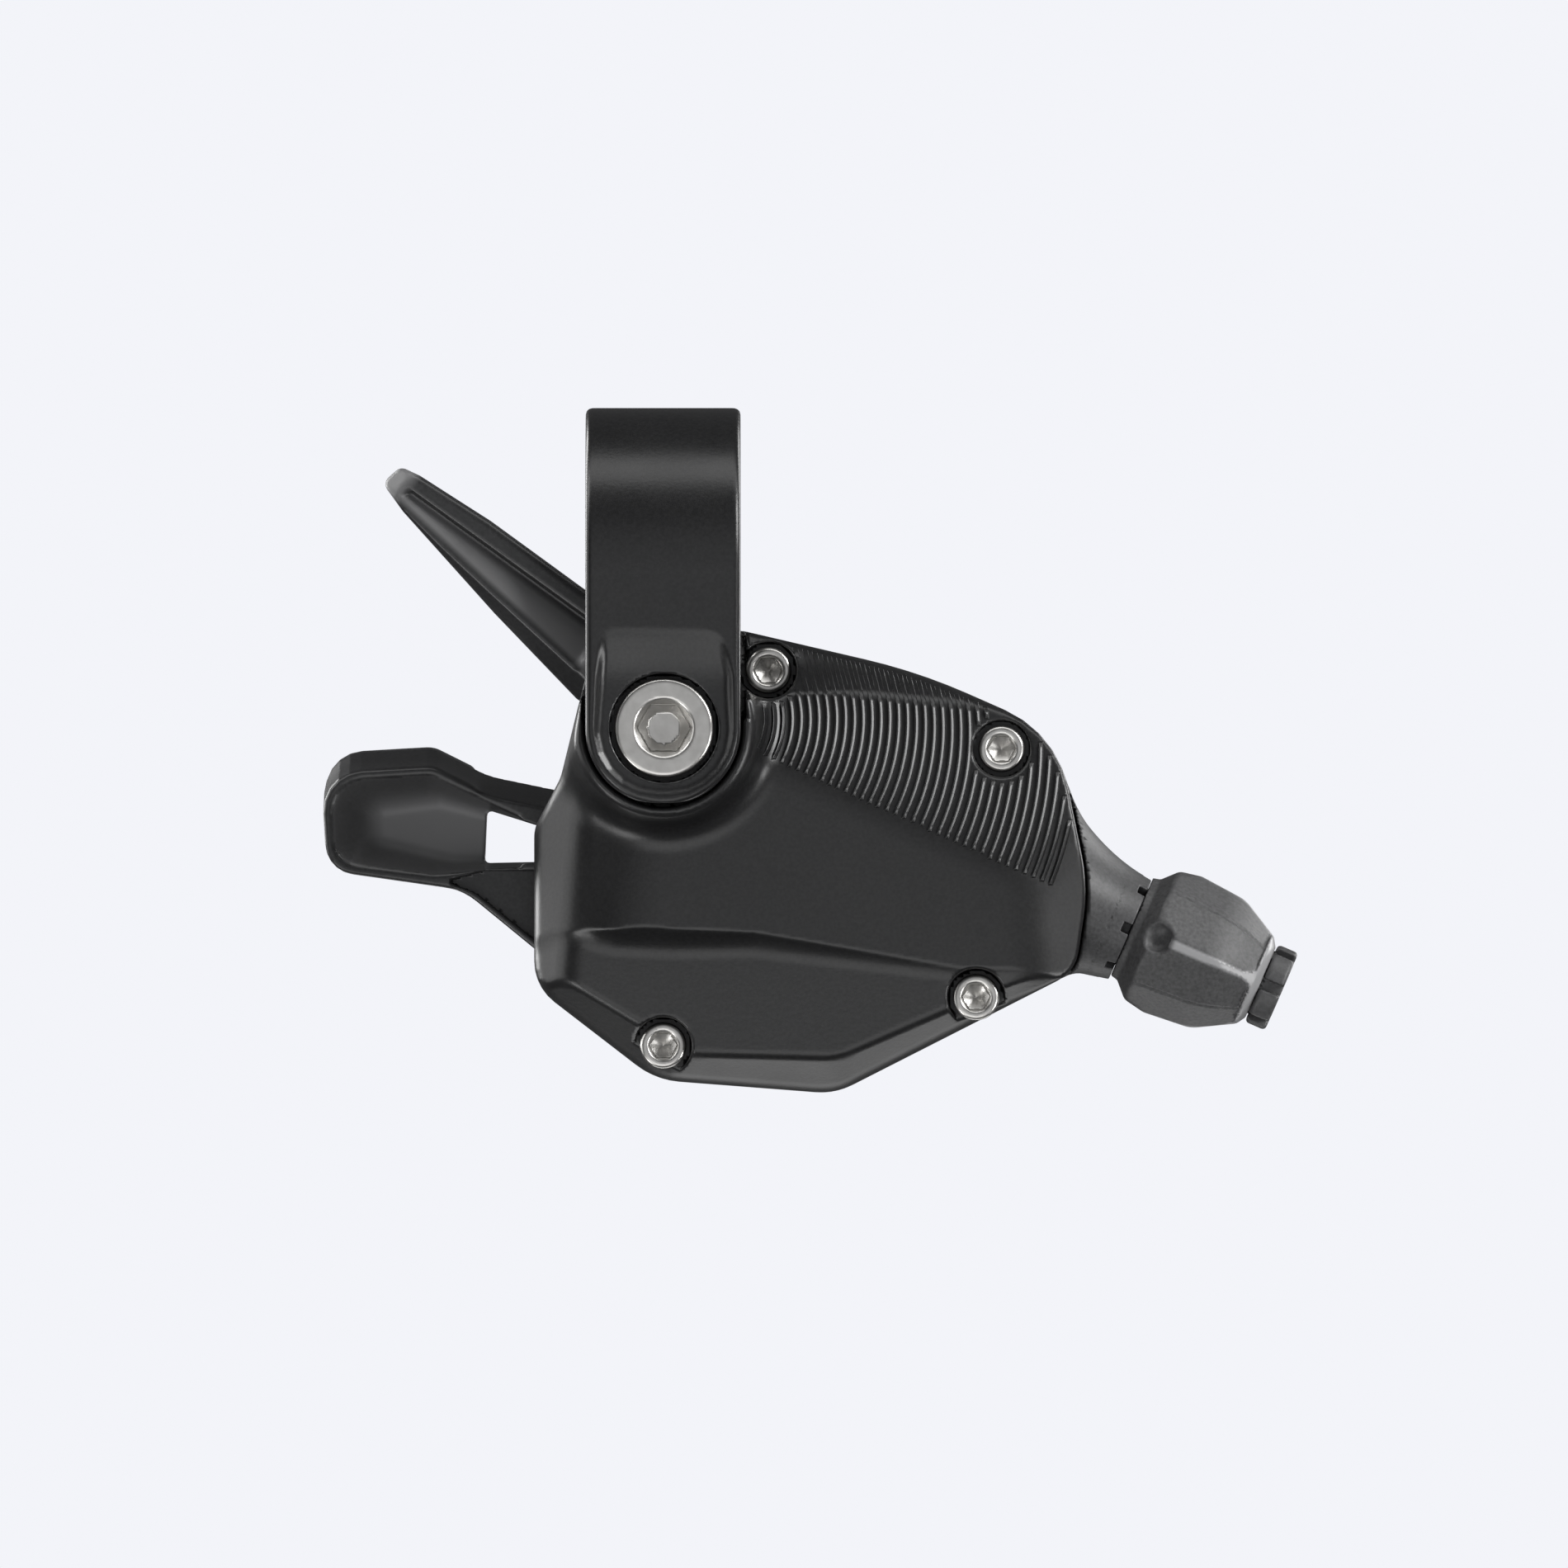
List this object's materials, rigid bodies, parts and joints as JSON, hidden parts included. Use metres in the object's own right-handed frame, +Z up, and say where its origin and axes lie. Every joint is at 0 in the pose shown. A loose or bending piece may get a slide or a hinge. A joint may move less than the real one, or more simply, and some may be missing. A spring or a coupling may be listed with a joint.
{
  "type": "trigger gear shifter",
  "caption": "Thumb-operated bicycle gear shifter: faceted casing under a handlebar clamp, thumb and release levers, indexed cable spool inside and a barrel adjuster at the outlet.",
  "frame": {"origin": "centre of the handlebar clamp's bore", "axes": "+X along the handlebar toward the cable outlet, +Z up, the cover faces -Y"},
  "size_m": [0.0839, 0.0444, 0.0594],
  "materials": {
    "cover": "satin charcoal",
    "base": "grained charcoal",
    "clamp": "black anodised",
    "knob": "grained charcoal",
    "barrel": "satin black",
    "levers": "semi-gloss black",
    "stainless": "satin",
    "steel": "plain",
    "spool": "natural acetal",
    "bush": "plain"
  },
  "bodies": {
    "housing": {"cover": "cover", "cover_screws": "stainless", "base_housing": "base", "clamp_band": "clamp", "clamp_bolt": "stainless", "clamp_insert": "bush", "main_axle": "steel", "axle_nut": "stainless", "thrust_washer": "bush", "spool_spring": "steel", "hold_pawl_pin": "steel", "hold_pawl_spring": "steel", "thumb_lever_spring": "steel", "release_lever_pin": "steel", "release_lever_spring": "steel", "detent_spring": "steel"},
    "spool": {"cable_spool": "spool", "index_ratchet": "steel", "drive_ratchet": "steel"},
    "thumb_lever": {"thumb_lever": "levers", "thumb_lever_bush": "bush", "drive_pawl_pin": "steel", "drive_pawl_spring": "steel"},
    "drive_pawl": {"drive_pawl": "steel"},
    "release_lever": {"release_lever": "levers"},
    "hold_pawl": {"hold_pawl": "steel"},
    "adjuster_knob": {"adjuster_knob": "knob"},
    "adjuster_barrel": {"adjuster_barrel": "barrel"}
  },
  "joints": [
    {"name": "thumb_lever_swing", "type": "hinge", "parent": "housing", "child": "thumb_lever", "pos_m": [0.006, 0, -0.028], "axis": [0, 1, 0], "range_deg": [0, 40], "stiffness_Nm_per_rad": 0.08, "springref_deg": -22.92},
    {"name": "release_lever_swing", "type": "hinge", "parent": "housing", "child": "release_lever", "pos_m": [0.004, 0, -0.012], "axis": [0, 1, 0], "range_deg": [0, 18], "stiffness_Nm_per_rad": 0.06, "springref_deg": -22.92},
    {"name": "spool_turn", "type": "hinge", "parent": "housing", "child": "spool", "pos_m": [0.006, 0, -0.028], "axis": [0, 1, 0], "range_deg": [0, 198]},
    {"name": "hold_pawl_lift", "type": "hinge", "parent": "housing", "child": "hold_pawl", "pos_m": [0.01347, 0, -0.04043], "axis": [0, -1, 0], "range_deg": [0, 8]},
    {"name": "drive_pawl_tip", "type": "hinge", "parent": "thumb_lever", "child": "drive_pawl", "pos_m": [-0.0068, 0, -0.03026], "axis": [0, -1, 0], "range_deg": [0, 8], "stiffness_Nm_per_rad": 0.004, "springref_deg": -17.19},
    {"name": "adjuster_turn", "type": "hinge", "parent": "housing", "child": "adjuster_knob", "pos_m": [0.0405, 0.014, -0.0315], "axis": [0.9171, 0, -0.3987], "range_deg": [0, 1440]},
    {"name": "adjuster_screw", "type": "slide", "parent": "housing", "child": "adjuster_barrel", "axis": [0.9171, 0, -0.3987], "range_m": [0, 0.003]}
  ],
  "couplings": [
    {"joint": "hold_pawl_lift", "follows": "release_lever_swing", "ratio": 0.4444},
    {"joint": "adjuster_screw", "follows": "adjuster_turn", "m_per_rad": 0.00011936}
  ]
}
